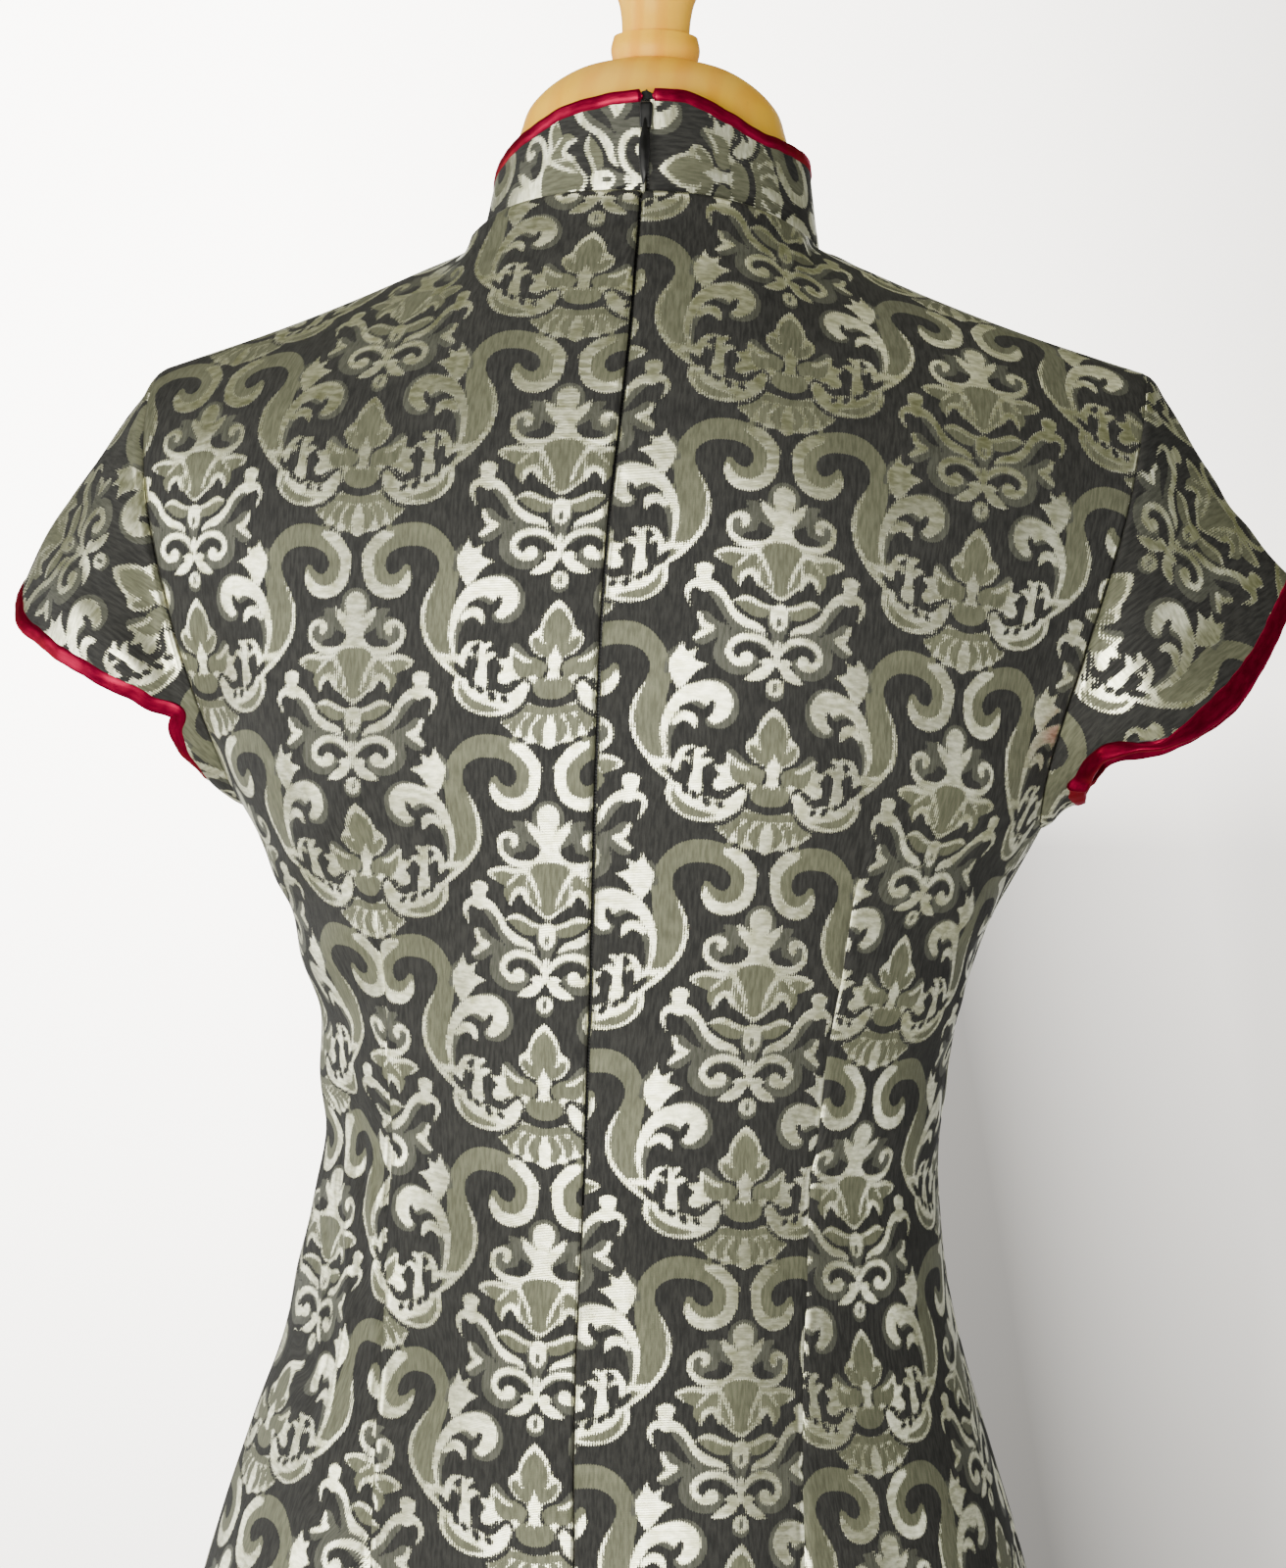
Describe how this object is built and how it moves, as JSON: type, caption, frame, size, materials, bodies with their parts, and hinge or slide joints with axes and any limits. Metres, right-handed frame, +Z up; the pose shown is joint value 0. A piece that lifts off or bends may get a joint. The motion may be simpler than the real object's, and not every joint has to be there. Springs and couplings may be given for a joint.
{
  "type": "cheongsam dress on a dress form",
  "caption": "Short-sleeved cheongsam with a stand collar, a back zip and cap sleeves, worn by a limbless dress form with a turned wooden neck cap on a round stand.",
  "frame": {"origin": "centre of the round base's underside, on the floor", "axes": "+Z up along the pole, +Y out of the back of the dress, -Y out of its front, +X to the wearer's left"},
  "size_m": [0.5158, 0.36, 1.5515],
  "materials": {
    "damask": "silky woven damask",
    "satin_binding": "satin",
    "zip_tape": "matt woven tape",
    "zip_metal": "gloss black lacquer",
    "jersey": "matt jersey over foam",
    "maple": "satin varnish"
  },
  "bodies": {
    "dressed_form": {"front": "damask", "back_left": "damask", "back_right": "damask", "sleeve_left": "damask", "sleeve_right": "damask", "collar_left": "damask", "collar_right": "damask", "collar_binding_left": "satin_binding", "collar_binding_right": "satin_binding", "sleeve_binding_left": "satin_binding", "sleeve_binding_right": "satin_binding", "zip_tape": "zip_tape", "zip_slider": "zip_metal", "form_torso": "jersey", "neck_cap": "maple", "pole": "maple", "base": "maple"},
    "pull_tab": {"zip_pull": "zip_metal"}
  },
  "joints": [
    {"name": "pull_tab_hinge", "type": "hinge", "parent": "dressed_form", "child": "pull_tab", "pos_m": [-0.00736, 0.0641, 1.44223], "axis": [1, 0, 0], "range_deg": [0, 150]}
  ]
}
